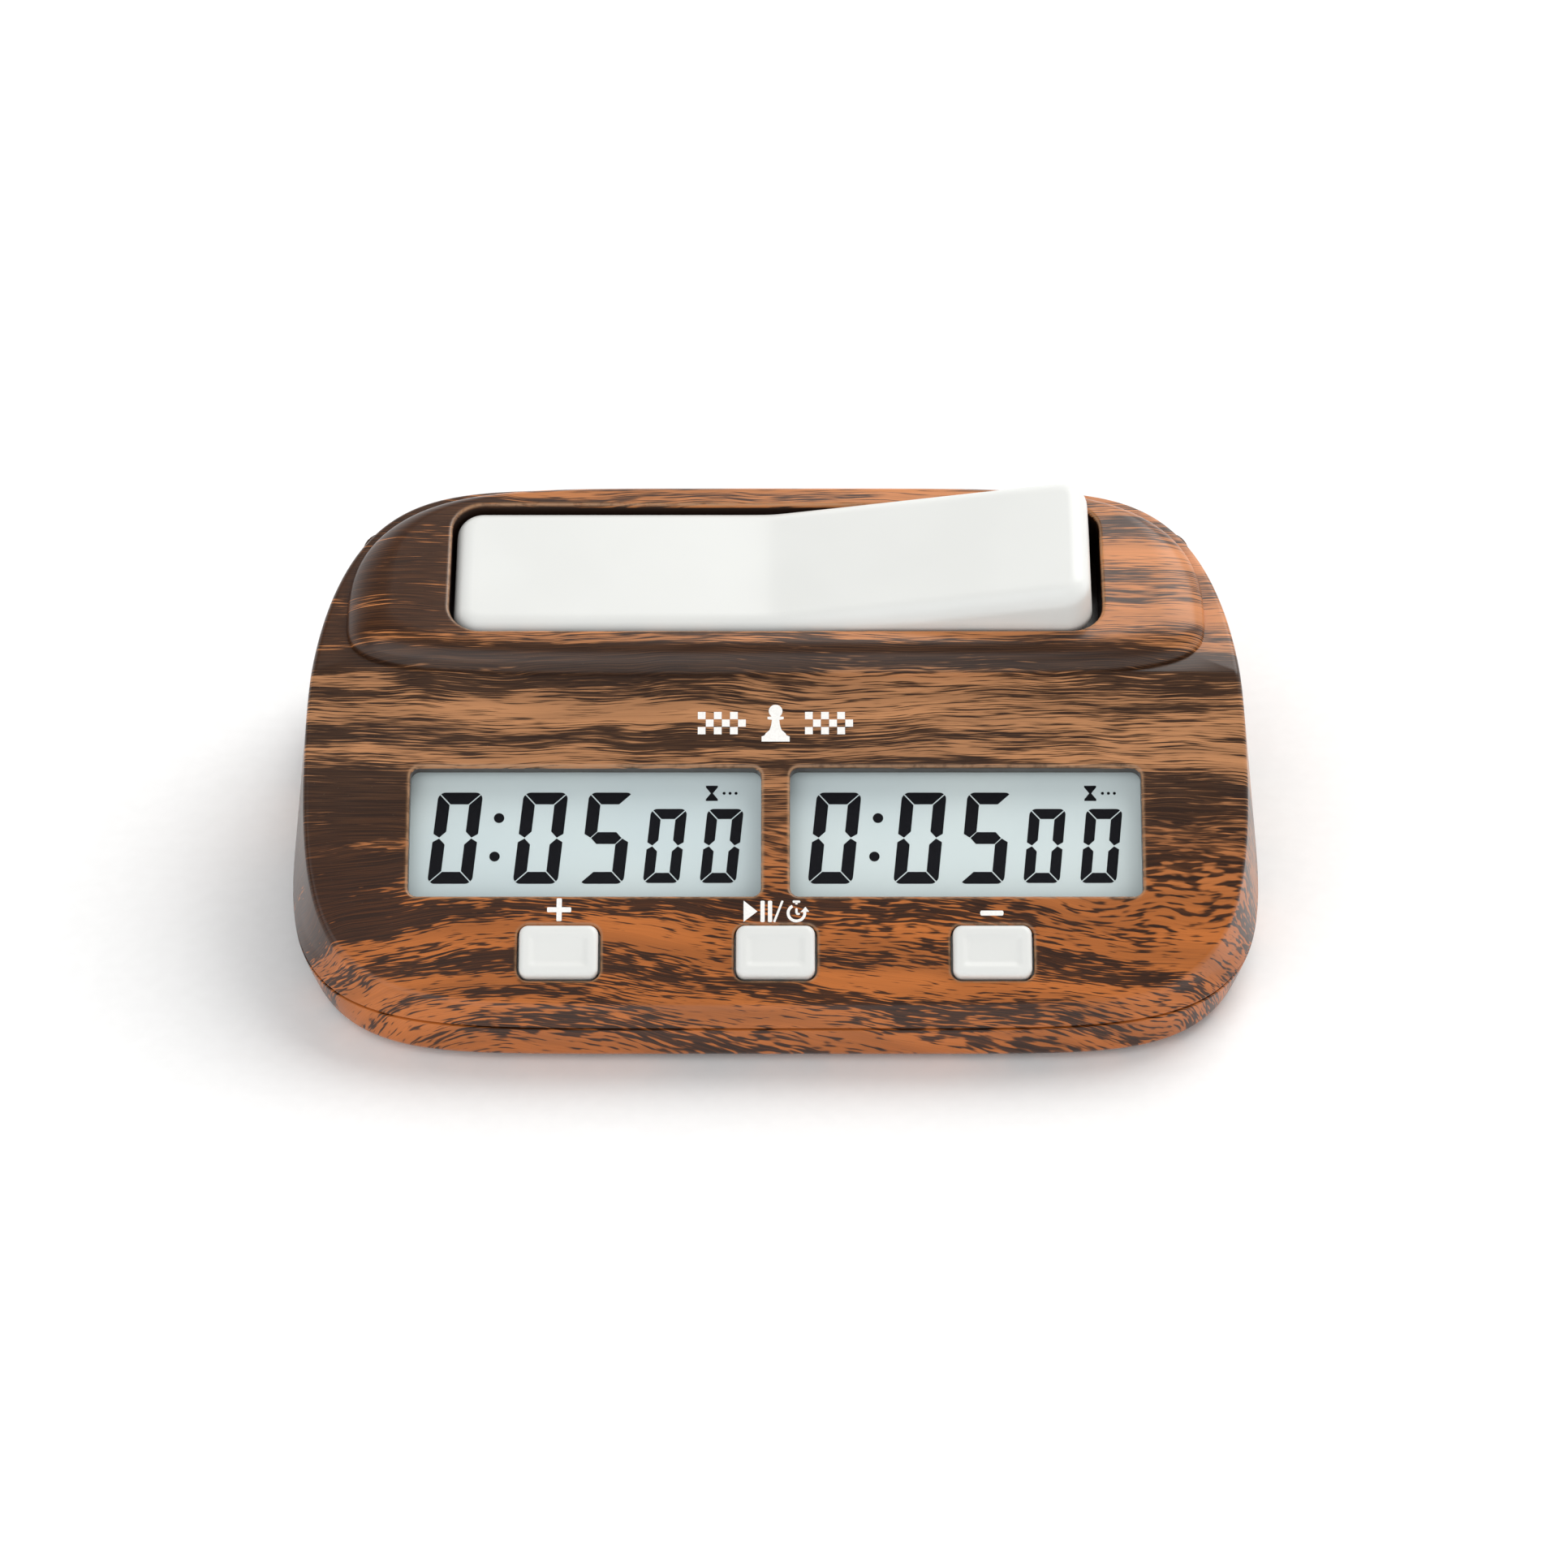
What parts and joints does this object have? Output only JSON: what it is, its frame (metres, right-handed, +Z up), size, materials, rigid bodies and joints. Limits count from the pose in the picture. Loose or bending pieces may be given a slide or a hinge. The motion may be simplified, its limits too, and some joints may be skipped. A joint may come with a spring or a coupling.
{
  "type": "chess clock",
  "caption": "Digital chess clock with a sloping wood-printed case, two liquid crystal displays, a tilting white turn rocker and push buttons.",
  "frame": {"origin": "on the table under the middle of the case", "axes": "+X to the player's right, +Y to the rear, +Z up; the displays face -Y"},
  "size_m": [0.1396, 0.092, 0.0492],
  "materials": {
    "wood_print": "satin wood-grain transfer print",
    "white_plastic": "fine satin",
    "black_plastic": "satin",
    "display_glass": "reflective liquid crystal glass",
    "clear_lens": "polished clear",
    "circuit_board": "solder resist",
    "steel": "plated",
    "rubber": "matt",
    "cell_sleeve": "printed sleeve",
    "red_lead": "vinyl",
    "black_lead": "vinyl"
  },
  "bodies": {
    "case": {"upper_shell": "wood_print", "lower_shell": "wood_print", "ribbon_cable": "white_plastic", "display_frame": "black_plastic", "turn_switch_left": "black_plastic", "turn_switch_right": "black_plastic", "tact_switch_plus": "black_plastic", "tact_switch_play": "black_plastic", "tact_switch_minus": "black_plastic", "controller_chip": "black_plastic", "buzzer": "black_plastic", "lcd_left": "display_glass", "lcd_right": "display_glass", "window_lens_left": "clear_lens", "window_lens_right": "clear_lens", "main_board": "circuit_board", "turn_board": "circuit_board", "rocker_pin": "steel", "pin_clip": "steel", "crystal": "steel", "contact_negative": "steel", "contact_positive": "steel", "contact_spring": "steel", "power_switch": "steel", "case_screw_front_left": "steel", "case_screw_front_right": "steel", "case_screw_rear_left": "steel", "case_screw_rear_right": "steel", "board_screw_1": "steel", "board_screw_2": "steel", "board_screw_3": "steel", "board_screw_4": "steel", "turn_board_screw_1": "steel", "turn_board_screw_2": "steel", "foot_front_left": "rubber", "foot_front_right": "rubber", "foot_rear_left": "rubber", "foot_rear_right": "rubber", "contact_strip_left": "rubber", "contact_strip_right": "rubber", "battery_cell": "cell_sleeve", "battery_lead_red": "red_lead", "battery_lead_black": "black_lead"},
    "rocker": {"rocker": "white_plastic"},
    "plunger_left": {"turn_plunger_left": "white_plastic"},
    "plunger_right": {"turn_plunger_right": "white_plastic"},
    "plus_button": {"button_plus": "white_plastic", "tact_plunger_plus": "white_plastic"},
    "play_button": {"button_play": "white_plastic", "tact_plunger_play": "white_plastic"},
    "minus_button": {"button_minus": "white_plastic", "tact_plunger_minus": "white_plastic"},
    "door": {"battery_door": "wood_print"},
    "power_slider": {"power_knob": "black_plastic"}
  },
  "joints": [
    {"name": "rocker_tilt", "type": "hinge", "parent": "case", "child": "rocker", "pos_m": [0, 0.01739, 0.03328], "axis": [0, 0.9848, 0.1736], "range_deg": [0, 9.5]},
    {"name": "plunger_left_slide", "type": "slide", "parent": "case", "child": "plunger_left", "axis": [0, -0.1736, 0.9848], "range_m": [0, 0.00199]},
    {"name": "plunger_right_slide", "type": "slide", "parent": "case", "child": "plunger_right", "axis": [0, -0.1736, 0.9848], "range_m": [-0.00199, 0]},
    {"name": "plus_press", "type": "slide", "parent": "case", "child": "plus_button", "axis": [0, 0.4695, -0.8829], "range_m": [0, 0.0008], "stiffness_N_per_m": 1500},
    {"name": "play_press", "type": "slide", "parent": "case", "child": "play_button", "axis": [0, 0.4695, -0.8829], "range_m": [0, 0.0008], "stiffness_N_per_m": 1500},
    {"name": "minus_press", "type": "slide", "parent": "case", "child": "minus_button", "axis": [0, 0.4695, -0.8829], "range_m": [0, 0.0008], "stiffness_N_per_m": 1500},
    {"name": "door_hinge", "type": "hinge", "parent": "case", "child": "door", "pos_m": [0, 0.02925, 0.0015], "axis": [1, 0, 0], "range_deg": [0, 75]},
    {"name": "power_slide", "type": "slide", "parent": "case", "child": "power_slider", "axis": [1, 0, 0], "range_m": [0, 0.002]}
  ],
  "couplings": [
    {"joint": "plunger_left_slide", "follows": "rocker_tilt", "m_per_rad": 0.011986},
    {"joint": "plunger_right_slide", "follows": "rocker_tilt", "m_per_rad": -0.011986}
  ]
}
